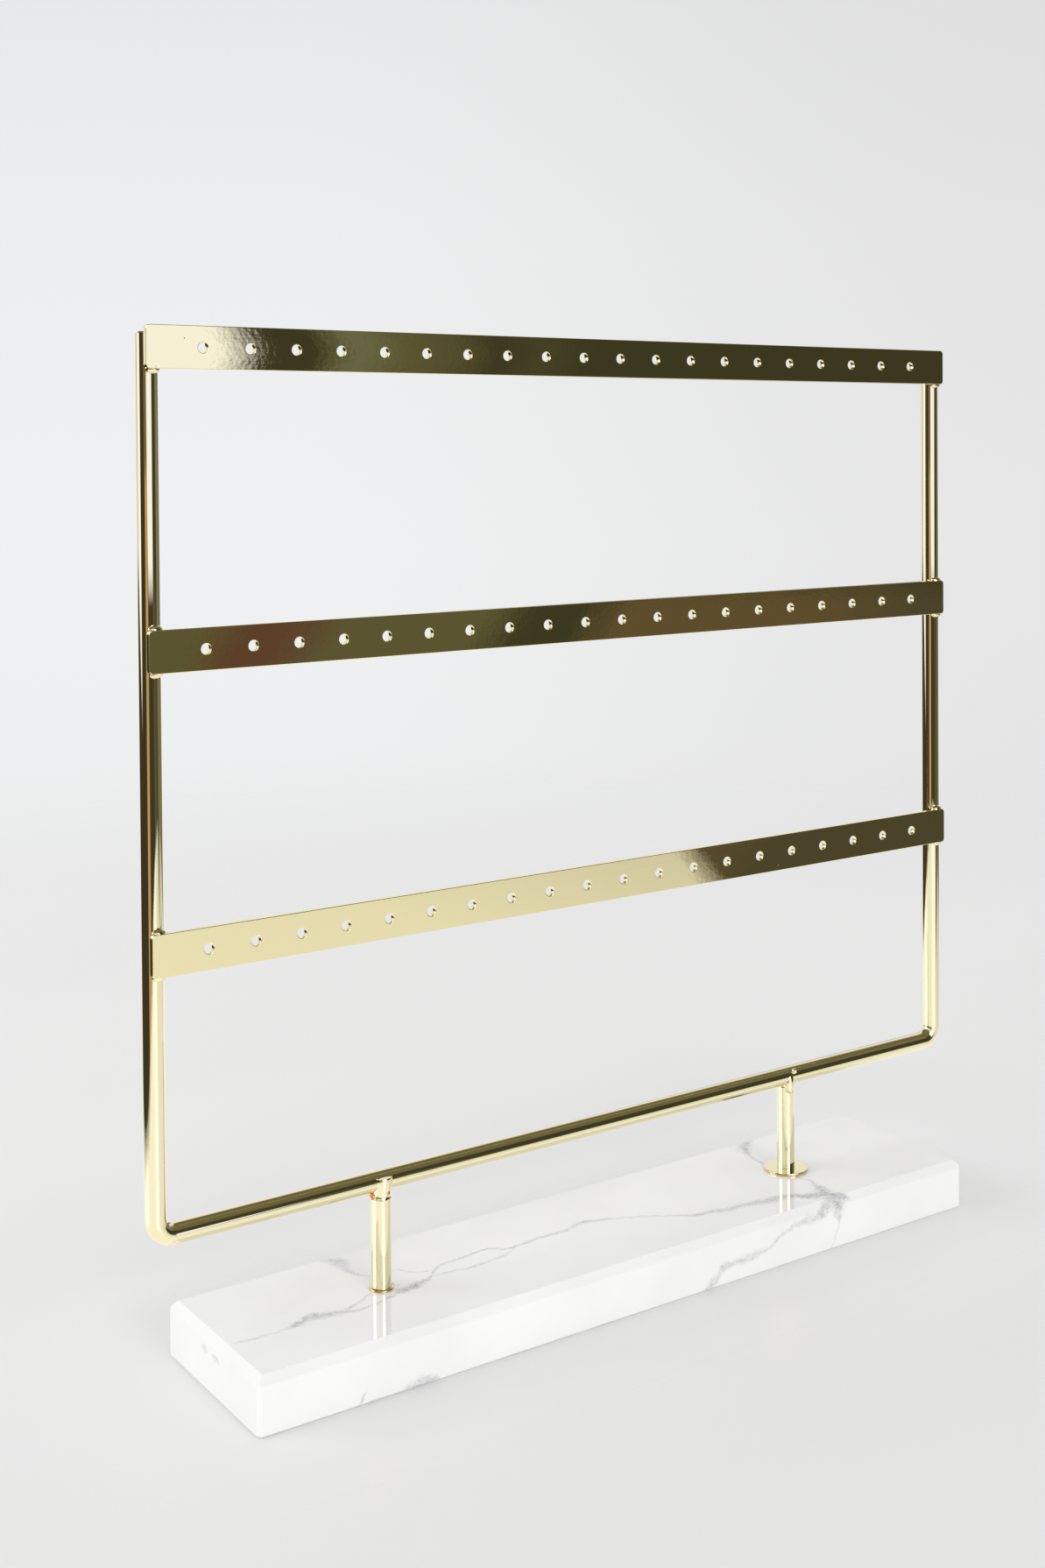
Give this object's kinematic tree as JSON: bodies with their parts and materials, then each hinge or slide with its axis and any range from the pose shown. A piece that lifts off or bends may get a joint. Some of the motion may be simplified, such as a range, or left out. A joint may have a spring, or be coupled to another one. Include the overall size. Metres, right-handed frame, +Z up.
{
  "type": "earring display stand",
  "caption": "Tabletop earring display stand: a gold-finished rod frame with drilled flat strips stands on two short posts over a chamfered white marble slab.",
  "frame": {"origin": "centre of the slab's underside, on the surface that the stand rests on", "axes": "+X along the strips to the user's right, -Y towards the user, +Z up"},
  "size_m": [0.2574, 0.049, 0.2494],
  "materials": {
    "marble": "polished white marble with grey veins",
    "gold_plate": "bright light-gold electroplate on steel",
    "zinc_steel": "zinc-plated steel"
  },
  "bodies": {
    "root": {"base_slab": "marble", "frame_rod": "gold_plate", "bottom_strip": "gold_plate", "middle_strip": "gold_plate", "top_strip": "gold_plate", "left_post": "gold_plate", "right_post": "gold_plate", "right_foot_washer": "gold_plate", "left_nut": "zinc_steel", "right_nut": "zinc_steel"}
  },
  "joints": []
}
